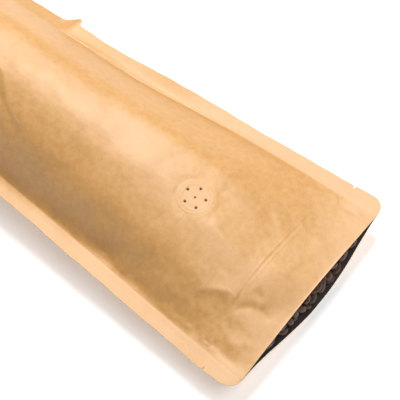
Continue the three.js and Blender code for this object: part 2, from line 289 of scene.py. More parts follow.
FRONT_CREASES = (
    # path, height, reach, sharpness
    # Folds in the flap between the mouth and the zip.
    (((-37.5, 28.5), (-33.5, 26), (-29.5, 21), (-27.5, 14), (-29, 8)), -1.3, 3.4, 0.3),
    (((-23, 18), (-21.5, 22), (-20.5, 26)), -0.7, 2.2, 0.8),
    (((0, 15), (-1, 21), (-1, 28)), 0.25, 2.2, 1),
    (((-40, 0), (-46, 7), (-50, 16), (-53, 24)), 0.5, 4, 2),
    (((24, 24), (25, 20), (27, 16)), -0.2, 1.4, 0.4),
    (((57, 24), (59, 17), (60, 10)), -0.25, 2.4, 0.8),
    # Folds that run from the zip towards the valve.
    (((-30, 31), (-31, 39), (-35.5, 47), (-42, 54)), 1.7, 4.4, 0.7),
    (((-23.5, 38), (-22.5, 44), (-22, 53)), -0.5, 2.4, 0.4),
    (((-13, 42), (-11, 52), (-8, 63), (-5, 73)), 0.5, 4, 3),
    (((-9, 43), (-8, 39), (-6, 36)), -0.25, 1.4, 0.4),
    (((10, 48), (18, 58), (27, 68)), 0.3, 3.4, 1.6),
    (((18, 38), (21, 45), (24, 52)), -0.35, 2, 0.6),
    (((25, 38), (27, 44), (29, 52)), 0.16, 1.8, 0.8),
    (((22, 53), (27, 60), (36, 68)), -0.25, 2, 0.6),
    (((60, 47), (62, 42), (61, 36)), -0.4, 1.2, 0.3),
    (((56, 44), (58, 37), (57, 30)), 0.25, 1.3, 0.4),
    # The crushed corner where the zip runs into the side seal.
    (((-66, 42), (-61, 41.8), (-55, 41)), -0.85, 1.7, 0.25),
    (((-66, 36), (-61, 35), (-57, 36)), 0.4, 1.5, 0.3),
    (((-65, 30), (-60, 27), (-56, 27)), -0.35, 1.4, 0.3),
    (((-60, 50), (-56, 45), (-53, 45)), -0.5, 1.8, 0.5),
    (((-50, 52), (-47, 46), (-49, 40)), 0.35, 2, 0.5),
    # Fine pulls round the valve.
    (((9, 79), (14, 75), (21, 73)), -0.18, 1.6, 0.5),
    (((4, 74), (8, 70), (11, 66)), -0.18, 1.5, 0.5),
    (((0, 97), (0, 101), (1, 106)), -0.3, 1.4, 0.5),
    (((-12, 86), (-14, 88), (-17, 88)), -0.22, 1.5, 0.5),
    (((-2, 73), (-5, 70), (-9, 69)), -0.3, 1.5, 0.5),
    # Folds over the bottom gusset.
    (((-4, 248), (-7, 234), (-10.5, 226), (-18, 219), (-25, 209), (-29, 198)), 0.8, 4.2, 0.7),
    (((-14, 246), (-16, 230), (-23, 219), (-28, 208), (-34, 196)), -1.3, 4.2, 1),
    (((20, 274), (24, 252), (22, 236), (28, 222)), 0.5, 3.6, 0.8),
    (((-36, 274), (-33, 256), (-38, 240)), 0.7, 3, 0.6),
    (((42, 274), (39, 254), (42, 238)), -0.7, 3, 0.6),
    (((5, 276), (7, 262), (3, 248)), -0.5, 3, 0.6),
    (((49, 229), (51, 233), (53, 239)), -0.5, 1.3, 0.3),
)

FRONT_DENTS = (
    # centre, reach, turn in degrees, depth, which is negative for a bulge
    ((3, 5), (10, 9), 0, -0.8),
    ((-26, -3), (26, 10), 0, 0.7),
    ((-63, 14), (8, 12), 15, 0.9),
    ((-24, 10), (7, 11), 45, 1),
    ((-7, 21), (9, 12), 45, -0.7),
    ((-43, 82), (8, 13), 20, 0.9),
    ((-33, 60), (9, 14), 15, -0.6),
    ((-56, 58), (6, 14), 0, 0.8),
    ((-49, 106), (6, 14), 8, 0.7),
    ((-54, 118), (5, 9), 0, 0.5),
    ((-52, 152), (5, 20), 4, 0.7),
    ((36, 58), (13, 18), 0, 0.5),
    ((40, 120), (10, 30), -4, 0.4),
    ((-28, 160), (9, 26), 10, 0.4),
    ((26, 205), (9, 22), -8, 0.5),
    ((-30, 222), (8, 20), -12, 1),
)

# Pressed rings of the valve: height, radius, reach.
VALVE_RINGS = (
    (0.03, VALVE_RADIUS - 0.6, 0.45),
    (-0.03, VALVE_RADIUS + 0.3, 0.4),
    (0.03, VALVE_CUP_RADIUS + 1.1, 0.5),
)

# Where the front panel is fuller than an even arch: height, middle and reach across it (-1 to 1),
# and the stretches along the pouch over which that comes in or goes out.
SWELLS = (
    (2.8, -0.62, 0.21, (36, 84)),
    (2.6, 0.42, 0.2, (40, 90)),
    (3.4, -0.22, 0.4, (0, 26), (100, 56)),
)
# The flat foot between a seal and the full panel: width, place, reach.
FOOT_PLUS = (2.6, 178, 42)
FOOT_MINUS = (3.0, 105, 60)
# How softly the panel rises out of it, less so beside the gusset.
FILLET_PLUS = 0.45
FILLET_MINUS = 1.1
FILLET_END = (232, 244)
FILLET_AT_END = 0.3

BACK_CREASES = (
    (((-50, 60), (-35, 85), (-30, 120)), -0.6, 4, 1),
    (((48, 70), (40, 100), (44, 140)), -0.6, 4, 1),
    (((-46, 150), (-50, 180), (-44, 215)), 0.5, 4, 1),
    (((-40, 244), (-20, 236), (10, 238), (40, 246)), -0.5, 3, 0.8),
    (((-56, 50), (-48, 36), (-34, 28)), 0.8, 3, 0.8),
    (((54, 46), (46, 34), (30, 26)), 0.7, 3, 0.8),
)

GUSSET_SPREAD = 70.0  # the gusset's width when it is opened out
GUSSET_HALF_LENGTH = 52.0
GUSSET_CREASES = (
    (((-51, 35), (-36, 27), (-20, 22), (-6, 21)), 1.5, 3.4, 0.6),
    (((-50, 36), (-34, 44), (-18, 50)), -1.4, 3.2, 0.6),
    (((-51, 33), (-42, 20), (-34, 10)), -0.9, 2.8, 0.6),
    (((51, 35), (36, 45), (20, 50), (8, 52)), 1.4, 3.4, 0.6),
    (((50, 34), (34, 27), (16, 23)), -1.3, 3.2, 0.6),
    (((51, 37), (43, 50), (36, 60)), -0.8, 2.8, 0.6),
    (((-12, 38), (2, 30), (14, 20)), 0.9, 3, 0.8),
    (((-4, 42), (8, 47), (22, 48)), -0.7, 2.8, 0.8),
)


def foot_width(y, side):
    return np.where(side > 0, hump(y, *FOOT_PLUS), hump(y, *FOOT_MINUS))


def seal_fillet(beyond, y, side):
    """Rounds the corner where the full panel rises out of the flat foot."""
    beyond = beyond + np.where(side < 0, foot_width(y, side), 0)
    slope = 2 * (crown_height(y) - seal_height(y)) / half_chord(y) * smoothstep(0, MOUTH_BLEND, y)
    softness = mix(1, FILLET_AT_END, smoothstep(*FILLET_END, y))
    radius = np.where(side < 0, FILLET_MINUS, FILLET_PLUS) * slope * softness
    return np.hypot(slope * beyond / 2, radius) - np.abs(slope * beyond / 2)


def hollow_end(s):
    """Where the bottom seal begins, which curves up at the corners."""
    return SIDE_LENGTH - mix(BOTTOM_SEAL, CORNER_SEAL, s**4)


def seal_relief(s, y):
    """The pressed line that the bottom seal leaves on both panels."""
    ridge, ridge_reach, pressed, pressed_run = 0.22, 0.9, 0.15, 1.5
    beyond = y - hollow_end(np.clip(s, -1, 1))
    bottom_line = hump(beyond, ridge, 0, ridge_reach) - pressed * smoothstep(0, pressed_run, beyond)
    return np.where(np.abs(s) <= 1.02, bottom_line, 0)


def zip_relief(x, y):
    """Two raised lines where the zip's ribs press through, crushed and faint near the seals."""
    rib, mouth_rib, groove, rung, flange = 0.13, 0.5, 0.10, 0.11, 0.05
    rung_pitch = 3.3
    v = y - (ZIP_FROM_MOUTH - 1.7)
    clear = 0.2 + 0.8 * bump(x, 0, 24)
    crushed = smoothstep(-20, -34, x)
    spread = 1.45 + 0.9 * crushed
    softness = 0.6 + 0.4 * crushed
    ribs = bump(v, spread, softness) + mouth_rib * bump(v, -spread, softness)
    lines = (rib * ribs - groove * bump(v, 0, 0.6)) * clear
    rungs = np.sin(x * 2 * math.pi / rung_pitch) * bump(v, 0.6, 2.6) * smoothstep(-40, -50, x)
    reach = smoothstep(0.99, 0.93, np.abs(x) / half_chord(y))
    return reach * (lines + rung * rungs + flange * smoothstep(7.5, 6.0, np.abs(v)))


def valve_relief(x, y):
    """The flange and cup of the valve behind the paper, and its needle holes."""
    v = y - VALVE_FROM_MOUTH
    r = np.hypot(x, v)
    total = 0.05 * smoothstep(VALVE_RADIUS + 0.5, VALVE_RADIUS - 0.5, r)
    total -= 0.08 * smoothstep(VALVE_CUP_RADIUS + 0.9, VALVE_CUP_RADIUS + 0.1, r)
    for height, radius, reach in VALVE_RINGS:
        total += hump(r, height, radius, reach)
    for hx, hy, radius in vent_holes():
        d = np.hypot(x - hx, v - hy)
        total -= VENT_DEPTH * np.exp(-((d / radius) ** 4))
        total += hump(d, 0.05, radius + 0.3, 0.3)
    return total


def vent_holes():
    """Centre, from the valve's, and radius of each needle hole."""
    sx, sy = VENT_SHIFT
    holes = [(sx, sy, MIDDLE_VENT_RADIUS)]
    for i in range(VENT_COUNT):
        a = VENT_TURN + i * 2 * math.pi / VENT_COUNT
        holes.append((VENT_CIRCLE * math.cos(a) + sx, VENT_CIRCLE * math.sin(a) + sy, VENT_RADIUS))
    return holes


# Heights of the random relief.
FRONT_BROAD, FRONT_MIDDLE, FRONT_FINE = 0.42, 0.12, 0.028
BACK_BROAD, BACK_MIDDLE = 0.5, 0.1
SHADE_CRUMPLE = 1.4  # how much more crumpled the side in shade is
CALM_OVER_VALVE = 0.85


def front_detail(s, y):
    """All the relief of the front panel over its smooth form."""
    x = s * half_chord(y)
    flat_mouth = smoothstep(0, 30, y)
    shaded = 1 + SHADE_CRUMPLE * smoothstep(-0.45, -0.7, s)
    total = FRONT_BROAD * relief(BROAD_WAVES, x, y) * flat_mouth
    total += FRONT_MIDDLE * relief(MIDDLE_WAVES, x, y) * mix(0.5, 1, flat_mouth) * shaded
    total += FRONT_FINE * relief(FINE_WAVES, x, y) * shaded
    total += creases(x, y, FRONT_CREASES)
    for hollow in FRONT_DENTS:
        total += dent(x, y, *hollow)
    # The paper is drawn tight over the valve, so its own relief fades there.
    calm = smoothstep(VALVE_RADIUS + 4, VALVE_RADIUS, np.hypot(x, y - VALVE_FROM_MOUTH))
    total = total * (1 - CALM_OVER_VALVE * calm)
    # The relief dies out at the side seals, which hold the two panels flat together.
    held = smoothstep(1.0, 0.9, np.abs(s))
    curled_lip = 0.3 * np.exp(-y / 0.6)
    return total * held + curled_lip + seal_relief(s, y) + zip_relief(x, y) + valve_relief(x, y)


def back_detail(s, y):
    """The relief of the back panel, which is pressed smooth where it lies on the ground."""
    x = s * half_chord(y)
    raised = np.clip((back_height(np.clip(s, -1, 1), y) - WALL) / 6, 0, 1)
    total = BACK_BROAD * relief(BROAD_WAVES, -x, y + 40) * raised
    total += BACK_MIDDLE * relief(MIDDLE_WAVES, -x, y + 17) * mix(0.25, 1, raised)
    total += creases(x, y, BACK_CREASES) * mix(0.3, 1, raised)
    # What lies on the ground can only bulge away from it.
    total = np.where(raised < 0.5, np.minimum(total, 0.6 * raised), total)
    held = smoothstep(1.0, 0.88, np.abs(s))
    return total * held + seal_relief(s, y) * raised


# ---- panels

FRONT, BACK = 1, -1


def front_shape(s, y):
    """The front panel as it lies: an arch that stands a little inside the seals, and its swells."""
    foot = foot_width(y, np.sign(s)) / half_chord(y)
    shape = front_height(np.clip(s / (1 - foot), -1, 1), y)
    for height, middle, reach, *stretches in SWELLS:
        swell = hump(s, height, middle, reach)
        for start, full in stretches:
            swell = swell * smoothstep(start, full, y)
        shape = shape + swell
    return shape


def panel_base(c, y, face):
    """The middle of a seal, or a panel's inner face. Across a panel c is -1..1, and over its seals it
    goes on to -2 and 2."""
    side = np.where(c < 0, -1.0, 1.0)
    s = np.clip(c, -1, 1)
    b = np.clip(np.abs(c) - 1, 0, 1)
    chord = half_chord(y)
    height = front_shape(s, y) if face == FRONT else back_height(s, y)
    x = s * chord + side * b * (outer_edge(y, side) - chord)
    if face == FRONT:
        height = height + seal_fillet(np.abs(x) - chord, y, side)
    z = height + b * (band_lift(y, side) + uneven(BAND_RIPPLE, y, side))
    return np.stack([x, y + 0 * x, z], -1)


def panel_normal(c, y, face):
    """The direction out of the pouch, from small steps across and along the panel."""
    dc, dy = 0.004, 0.25
    across = panel_base(c + dc, y, face) - panel_base(c - dc, y, face)
    along = panel_base(c, y + dy, face) - panel_base(c, y - dy, face)
    normal = np.cross(across, along) * face
    return normal / np.linalg.norm(normal, axis=-1, keepdims=True)


def panel_offset(c):
    """From the base to the outer face: half the seal's thickness, and more over the contents."""
    inside = np.clip(1 - np.clip(np.abs(c), 0, 1) ** 2, 0, 1)
    return mix(SEAL_HALF, WALL, np.clip(4 * inside, 0, 1))


def panel_point(c, y, face, depth=0.0):
    """A point of a panel's outer face, or that deep under it."""
    detail = front_detail(c, y) if face == FRONT else back_detail(c, y)
    beyond = np.clip(np.abs(c) - 1, 0, 1) > 0
    detail = np.where(beyond, band_detail(c, y), detail)
    offset = panel_offset(c) + detail - depth
    normal = panel_normal(c, y, face)
    flat = np.where(beyond[..., None], np.array([0.0, 0.0, float(face)]), normal)
    return panel_base(c, y, face) + flat * offset[..., None]


def band_detail(c, y):
    """The line that the heated bars press along a side seal."""
    from_panel = np.clip(np.abs(c) - 1, 0, 1) * SEAL_WIDTH
    return hump(from_panel, 0.06, 1.3, 0.6)


def spaced(low, high, step):
    """Even places from low up to high, without high."""
    count = max(1, round((high - low) / step))
    return [low + (high - low) * i / count for i in range(count)]


def panel_columns(dense):
    """Places across a panel, closest over the valve, and on over its seals up to -2 and 2."""
    fine = 0.0066 if dense else 0.03
    half = spaced(0, 0.225, fine) + spaced(0.225, 0.9, 0.021) + spaced(0.9, 1, 0.0125)
    half += [1.0, 1.03, 1.08] + spaced(1.15, 1.9, 0.15) + [1.9, 1.96, 2.0]
    half = np.array(half)
    return np.concatenate([-half[:0:-1], half])


def panel_rows(dense):
    """Places along a panel, closest at the lip, the notches, the zip, the valve and the ear."""
    rows = [0, 0.15, 0.4, 0.8, 1.4, 2.2, 3.2, 4.5, 6, 7.5]
    rows += spaced(9, 21.5, 1.25) + spaced(21.5, 24.5, 0.25)
    rows += spaced(24.5, 40, 0.45 if dense else 1.4) + spaced(40, 73, 1.2)
    rows += spaced(73, 99, 0.42 if dense else 1.5) + spaced(99, 228, 1.6)
    rows += spaced(228, 231.5, 0.9) + spaced(231.5, 234, 0.35) + spaced(234, 273, 1.6)
    before_rim = [7, 5.8, 4.6, 3.4, 2.4, 1.6, 1, 0.5, 0.2, 0]
    return np.array(rows + [SIDE_LENGTH - d for d in before_rim])


def to_row(points):
    """From millimetres in the pouch's axes to metres in the frame."""
    return (np.asarray(points, float) + (0, -SIDE_LENGTH / 2, 0)) / 1000


def grid_quads(rows, columns, start=0, flipped=False):
    """The faces between rows x columns points, numbered from start."""
    i, j = np.meshgrid(np.arange(rows - 1), np.arange(columns - 1), indexing="ij")
    a = start + i * columns + j
    quads = np.stack([a, a + 1, a + columns + 1, a + columns], -1).reshape(-1, 4)
    return quads[:, ::-1] if flipped else quads


def rim_quads(rows, columns, flipped=False):
    """The faces that join the borders of two grids, one numbered after the other."""
    number = np.arange(rows * columns).reshape(rows, columns)
    loop = np.concatenate([number[0], number[1:, -1], number[-1, -2::-1], number[-2:0:-1, 0]])
    following = np.roll(loop, -1)
    count = rows * columns
    quads = np.stack([loop, loop + count, following + count, following], -1)
    return quads[:, ::-1] if flipped else quads


def new_object(name, points, faces):
    mesh = bpy.data.meshes.new(name)
    mesh.from_pydata(points.tolist(), [], [list(map(int, f)) for f in faces])
    piece = bpy.data.objects.new(name, mesh)
    bpy.context.scene.collection.objects.link(piece)
    return piece


def build_mesh(name, points, faces, face_slots, materials):
    """A smooth shaded object from points in millimetres."""
    piece = new_object(name, to_row(points), faces)
    mesh = piece.data
    for material in materials:
        mesh.materials.append(material)
    mesh.polygons.foreach_set("material_index", np.asarray(face_slots, dtype=np.int32))
    mesh.polygons.foreach_set("use_smooth", np.ones(len(faces), dtype=bool))
    mesh.update()
    return piece


def sheet_solid(name, outer, inner, face_up):
    """A closed thin sheet between two grids of points, with its cut edge all round."""
    rows, columns = outer.shape[:2]
    points = np.concatenate([outer.reshape(-1, 3), inner.reshape(-1, 3)])
    outside = grid_quads(rows, columns, 0, not face_up)
    inside = grid_quads(rows, columns, rows * columns, face_up)
    rim = rim_quads(rows, columns, not face_up)
    faces = np.concatenate([outside, inside, rim])
    slots = np.repeat([0, 1, 2], [len(outside), len(inside), len(rim)])
    piece = build_mesh(name, points, faces, slots, SHEET_MATERIALS)
    sharpen_rim(piece.data, len(outside) + len(inside))
    return piece


def sharpen_rim(mesh, first_rim_face):
    """The cut edge meets both faces of the laminate at a sharp corner."""
    faces = len(mesh.polygons)
    edges = np.zeros(len(mesh.loops), dtype=np.int32)
    mesh.loops.foreach_get("edge_index", edges)
    corners = np.zeros(faces, dtype=np.int32)
    mesh.polygons.foreach_get("loop_total", corners)
    in_rim = np.repeat(np.arange(faces) >= first_rim_face, corners)
    use = np.zeros((len(mesh.edges), 2), dtype=int)
    np.add.at(use, (edges, in_rim.astype(int)), 1)
    sharp = (use[:, 0] > 0) & (use[:, 1] > 0)
    attribute = mesh.attributes.new("sharp_edge", "BOOLEAN", "EDGE")
    attribute.data.foreach_set("value", sharp)


# ---- materials


class Nodes:
    """Short ways to add and join the nodes of one material."""

    def __init__(self, name):
        self.material = bpy.data.materials.new(name)
        self.material.use_nodes = True
        self.tree = self.material.node_tree
        self.new = self.tree.nodes.new
        self.shader = self.tree.nodes["Principled BSDF"]
        coordinates = self.new("ShaderNodeTexCoord")
        self.position = coordinates.outputs["Object"]

    def add(self, kind, **inputs):
        node = self.new(kind)
        for key, value in inputs.items():
            self.feed(node.inputs[key.replace("_", " ")], value)
        return node

    def feed(self, socket, value):
        if isinstance(value, bpy.types.NodeSocket):
            self.tree.links.new(value, socket)
        else:
            socket.default_value = (*value, 1) if isinstance(value, tuple) else value

    def scaled(self, scale=(1, 1, 1), turn=(0, 0, 0)):
        node = self.new("ShaderNodeMapping")
        self.feed(node.inputs["Vector"], self.position)
        node.inputs["Scale"].default_value = scale
        node.inputs["Rotation"].default_value = turn
        return node.outputs["Vector"]

    def noise(self, vector, scale, detail=3.0, roughness=0.5, distortion=0.0):
        node = self.add(
            "ShaderNodeTexNoise", Vector=vector, Scale=scale, Detail=detail,
            Roughness=roughness, Distortion=distortion,
        )
        return node.outputs["Fac"]

    def ramp(self, value, *stops):
        node = self.new("ShaderNodeValToRGB")
        self.feed(node.inputs["Fac"], value)
        ramp = node.color_ramp
        while len(ramp.elements) < len(stops):
            ramp.elements.new(0.5)
        for element, (position, colour) in zip(ramp.elements, stops):
            element.position = position
            element.color = (*colour, 1) if isinstance(colour, tuple) else (colour,) * 3 + (1,)
        return node.outputs["Color"]

    def blend(self, a, b, factor):
        node = self.new("ShaderNodeMix")
        node.data_type = "RGBA"
        sockets = {s.name: s for s in node.inputs if s.enabled}
        for name, value in (("Factor", factor), ("A", a), ("B", b)):
            self.feed(sockets[name], value)
        return next(s for s in node.outputs if s.enabled)

    def maths(self, operation, a, b):
        node = self.new("ShaderNodeMath")
        node.operation = operation
        self.feed(node.inputs[0], a)
        self.feed(node.inputs[1], b)
        return node.outputs[0]

    def bump(self, height, strength, distance, normal=None):
        node = self.add("ShaderNodeBump", Height=height, Strength=strength, Distance=distance)
        if normal is not None:
            self.feed(node.inputs["Normal"], normal)
        return node.outputs["Normal"]

    def attribute(self, name, output="Fac"):
        node = self.new("ShaderNodeAttribute")
        node.attribute_name = name
        return node.outputs[output]

    def finish(self, **inputs):
        for key, value in inputs.items():
            self.feed(self.shader.inputs[key.replace("_", " ")], value)
        return self.material


KRAFT = (0.522, 0.262, 0.074)
KRAFT_DARK = (0.45, 0.214, 0.052)
KRAFT_LIGHT = (0.585, 0.320, 0.104)
DARK_FIBRE = (0.30, 0.145, 0.05)
PALE_FIBRE = (0.66, 0.43, 0.21)
PALE_WEAR_AND_HIGHLIGHT = (0.64, 0.40, 0.19)
HOLE_SHADE = (0.028, 0.016, 0.01)
# Dark film colours that paint the shade inside the pouch.
SHADED_FILM_DARK, SHADED_FILM_LIGHT = (0.085, 0.070, 0.060), (0.125, 0.104, 0.088)
CUT_DARK, CUT_LIGHT = (0.66, 0.47, 0.29), (0.85, 0.68, 0.47)
ZIP_TINT, VALVE_TINT = (0.78, 0.765, 0.73), (0.76, 0.745, 0.7)
DARK_BEAN = ((0.034, 0.0125, 0.0065), (0.066, 0.0255, 0.014))
LIGHT_BEAN = ((0.072, 0.028, 0.014), (0.130, 0.053, 0.027))
CLEFT_CHAFF = (0.17, 0.085, 0.045)


def kraft_material():
    """Brown paper: mottled, with dark and pale fibres; paler along its ridges and seal lines, partly
    from wear and partly as a painted highlight; painted shade in its needle holes.
    """
    n = Nodes("kraft_paper")
    grain = n.noise(n.scaled(), 1900, 4, 0.6)
    mottle = n.noise(n.scaled(), 260, 5, 0.62)
    cloud = n.noise(n.scaled((1, 0.6, 1)), 38, 3, 0.5)
    fibres = n.noise(n.scaled((1, 0.22, 1), (0, 0, 0.12)), 1500, 3, 0.55, 0.6)
    cross_fibres = n.noise(n.scaled((0.2, 1, 1), (0, 0, -0.5)), 1250, 3, 0.55, 0.8)
    base = n.blend(KRAFT_DARK, KRAFT_LIGHT, n.ramp(mottle, (0.3, 0.0), (0.7, 1.0)))
    base = n.blend(KRAFT, base, 0.75)
    base = n.blend(base, n.ramp(cloud, (0.3, KRAFT_DARK), (0.7, KRAFT_LIGHT)), 0.22)
    specks = n.ramp(fibres, (0.28, 1.0), (0.36, 0.0))
    base = n.blend(base, DARK_FIBRE, n.maths("MULTIPLY", specks, 0.45))
    pale = n.ramp(cross_fibres, (0.66, 0.0), (0.74, 1.0))
    base = n.blend(base, PALE_FIBRE, n.maths("MULTIPLY", pale, 0.45))
    # Paler along ridges, the valve ring, the lip and the seal lines: partly wear, partly painted
    # highlight.
    base = n.blend(base, PALE_WEAR_AND_HIGHLIGHT, n.maths("MULTIPLY", n.attribute("crease"), 0.5))
    base = n.blend(base, HOLE_SHADE, n.attribute("hole"))
    height = n.maths("ADD", n.maths("MULTIPLY", grain, 0.55), n.maths("MULTIPLY", fibres, 0.45))
    soft = n.bump(mottle, 0.17, 0.0006)
    normal = n.bump(height, 0.22, 0.00018, soft)
    rough = n.ramp(mottle, (0.3, 0.52), (0.7, 0.6))
    return n.finish(Base_Color=base, Roughness=rough, Normal=normal, Specular_IOR_Level=1.0)


def shaded_liner_material():
    """The barrier film on the inside: dull, slightly wrinkled metallised film, coloured dark brown as
    painted shade inside the pouch.
    """
    n = Nodes("barrier_film_painted_shade")
    cloud = n.noise(n.scaled(), 60, 4, 0.55)
    fine = n.noise(n.scaled((1, 0.5, 1)), 520, 3, 0.5)
    base = n.ramp(cloud, (0.3, SHADED_FILM_DARK), (0.7, SHADED_FILM_LIGHT))
    normal = n.bump(fine, 0.15, 0.0003, n.bump(cloud, 0.2, 0.002))
    rough = n.ramp(cloud, (0.3, 0.32), (0.7, 0.44))
    return n.finish(Base_Color=base, Metallic=0.5, Roughness=rough, Normal=normal)


def edge_material():
    """The cut edge: paler paper fibres over a thin line of film."""
    n = Nodes("cut_edge")
    fibres = n.noise(n.scaled(), 1400, 3, 0.6)
    base = n.ramp(fibres, (0.3, CUT_DARK), (0.7, CUT_LIGHT))
    return n.finish(Base_Color=base, Roughness=0.85, Normal=n.bump(fibres, 0.3, 0.0002))


def polythene_material(name, tint, clearness):
    """Milky plastic with the faint streaks of its making."""
    n = Nodes(name)
    streaks = n.noise(n.scaled((0.08, 1, 1)), 900, 3, 0.5)
    cloud = n.noise(n.scaled(), 120, 3, 0.5)
    darker = tuple(v * 0.9 for v in tint)
    base = n.ramp(cloud, (0.3, darker), (0.7, tint))
    rough = n.ramp(streaks, (0.3, 0.3), (0.7, 0.42))
    return n.finish(
        Base_Color=base, Roughness=rough, Normal=n.bump(streaks, 0.12, 0.0001),
        Subsurface_Weight=clearness, Subsurface_Scale=0.001,
    )


def bean_material():
    """Roasted beans, each with its own tone and pattern, and pale chaff in the cleft."""
    n = Nodes("roasted_bean")
    tone = n.attribute("tone")
    groove = n.attribute("groove")
    place = n.attribute("own_place", "Vector")
    veins = n.noise(place, 3.2, 4, 0.6, 0.5)
    pores = n.noise(place, 14, 3, 0.6)
    dark, light = (n.ramp(veins, (0.3, a), (0.7, b)) for a, b in (DARK_BEAN, LIGHT_BEAN))
    base = n.blend(dark, light, tone)
    base = n.blend(base, CLEFT_CHAFF, n.maths("MULTIPLY", groove, 0.55))
    normal = n.bump(pores, 0.16, 0.00025, n.bump(veins, 0.35, 0.0006))
    rough = n.ramp(veins, (0.3, 0.36), (0.7, 0.5))
    return n.finish(
        Base_Color=base, Roughness=rough, Normal=normal, Specular_IOR_Level=0.22,
        Coat_Weight=0.04, Coat_Roughness=0.35,
    )


def floor_material():
    n = Nodes("pale_floor")
    cloud = n.noise(n.scaled(), 6, 3, 0.5)
    base = n.ramp(cloud, (0.3, (0.92, 0.92, 0.922)), (0.7, (0.94, 0.94, 0.942)))
    return n.finish(
        Base_Color=base, Roughness=0.8, Specular_IOR_Level=0.1,
        Emission_Color=(1.0, 1.0, 1.0), Emission_Strength=0.34,
    )


kraft = kraft_material()
shaded_liner = shaded_liner_material()
cut_edge = edge_material()
bean_skin = bean_material()
zip_plastic = polythene_material("zip_polythene", ZIP_TINT, 0.25)
valve_plastic = polythene_material("valve_polythene", VALVE_TINT, 0.1)

SHEET_MATERIALS = (kraft, shaded_liner, cut_edge)

# ---- the pouch's pieces


def float_attribute(piece, name, values):
    attribute = piece.data.attributes.new(name, "FLOAT", "POINT")
    attribute.data.foreach_set("value", np.asarray(values, dtype=np.float32).ravel())


# How far and how strongly the paper is painted paler: partly wear, partly painted highlight.
PALE_MARK_REACH = 0.7
PALE_VALVE_RING = 0.15
# Strength of the painted highlight along the seal lines, stronger on the lit +X side.
SEAL_HIGHLIGHT_PLUS, SEAL_HIGHLIGHT_MINUS = 0.35, 0.05


def pale_wear_and_highlight(x, y):
    """How much paler the front's paper is painted along the ridges, round the valve and at the lip:
    partly wear, partly painted highlight.
    """
    wear_and_highlight = np.zeros_like(x)
    for path, height, _, _ in FRONT_CREASES:
        if height > 0:
            d, share = distance_to_path(x, y, path)
            wear_and_highlight = np.maximum(wear_and_highlight, hump(d, height / 2, 0, PALE_MARK_REACH) * crease_fade(share))
    r = np.hypot(x, y - VALVE_FROM_MOUTH)
    wear_and_highlight = np.maximum(wear_and_highlight, hump(r, PALE_VALVE_RING, VALVE_RADIUS - 0.6, 0.45))
    return np.maximum(wear_and_highlight, bump(y, 0, PALE_MARK_REACH))


def panel_piece(name, face):
    dense = face == FRONT
    c, y = np.meshgrid(panel_columns(dense), panel_rows(dense))
    outer = panel_point(c, y, face)
    inner = panel_point(c, y, face, SHEET)
    piece = sheet_solid(name, outer, inner, face == FRONT)
    x = outer[..., 0]
    hole = wear_and_highlight = none = np.zeros_like(c)
    if face == FRONT:
        for hx, hy, radius in vent_holes():
            d = np.hypot(x - hx, y - VALVE_FROM_MOUTH - hy)
            hole = np.maximum(hole, smoothstep(radius * 1.35, radius * 0.85, d))
        wear_and_highlight = pale_wear_and_highlight(x, y)
    # A painted highlight along each seal line, stronger on the lit +X side.
    line = bump(np.abs(x), half_chord(y) - 0.2, 0.6)
    wear_and_highlight = np.maximum(wear_and_highlight, np.where(x > 0, SEAL_HIGHLIGHT_PLUS, SEAL_HIGHLIGHT_MINUS) * line)
    float_attribute(piece, "hole", [hole, none])
    # The crease attribute carries this pale wear and painted highlight into the paper's colour.
    float_attribute(piece, "crease", [np.clip(wear_and_highlight, 0, 1), none])
    return piece


FOLD_ROUNDNESS = 1.3  # 1 is a straight V
GUSSET_WAVE = 0.7


def gusset_piece():
    """The bottom, folded in between the panels: V-shaped from the side, deep at its two ends."""
    columns = np.sin(np.linspace(-1, 1, 121) * math.pi / 2) * 0.999
    end = np.full_like(columns, SIDE_LENGTH)
    front_rim, back_rim = (panel_point(columns, end, face, SHEET + 0.03) for face in (FRONT, BACK))
    half = (front_rim[:, 2] - back_rim[:, 2]) / 2
    depth = np.sqrt(np.maximum(GUSSET_DEPTH**2 - half**2, 0))
    share = (1 - np.cos(np.linspace(0, math.pi, 91))) / 2
    across = columns * GUSSET_HALF_LENGTH
    outer = []
    for t in share:
        fold = 1 - abs(2 * t - 1) ** FOLD_ROUNDNESS
        place = np.full_like(columns, t * GUSSET_SPREAD)
        wave = GUSSET_WAVE * relief(MIDDLE_WAVES, across, place + 9)
        wave = (wave + creases(across, place, GUSSET_CREASES)) * math.sin(math.pi * t) ** 2
        calm = np.clip(half / 20, 0, 1)
        row = mix(front_rim, back_rim, t)
        row[:, 1] = SIDE_LENGTH - depth * fold + wave * calm * np.minimum(1, depth / 12)
        outer.append(row)
    outer = np.array(outer)
    normal = np.cross(np.gradient(outer, axis=1), np.gradient(outer, axis=0))
    normal /= np.maximum(np.linalg.norm(normal, axis=-1, keepdims=True), 1e-9)
    toward_rim = np.where(normal[..., 1:2] < 0, -1.0, 1.0)
    inner = outer - normal * toward_rim * np.minimum(SHEET, 0.4 * half[None, :, None] + 0.02)
    piece = sheet_solid("pouch_gusset", outer, inner, False)
    float_attribute(piece, "hole", np.zeros(len(piece.data.vertices)))
    crest = hump(share, 0.6, 0.5, 0.02)[:, None] * np.ones((1, len(columns)))
    float_attribute(piece, "crease", [crest, np.zeros_like(crest)])
    return piece


front_panel = panel_piece("pouch_front", FRONT)
back_panel = panel_piece("pouch_back", BACK)
gusset = gusset_piece()

# ---- zip

ZIP_GAP = 0.25  # between a strip and the panel's inner face


def select_only(piece):
    for other in bpy.context.selected_objects:
        other.select_set(False)
    piece.select_set(True)
    bpy.context.view_layer.objects.active = piece


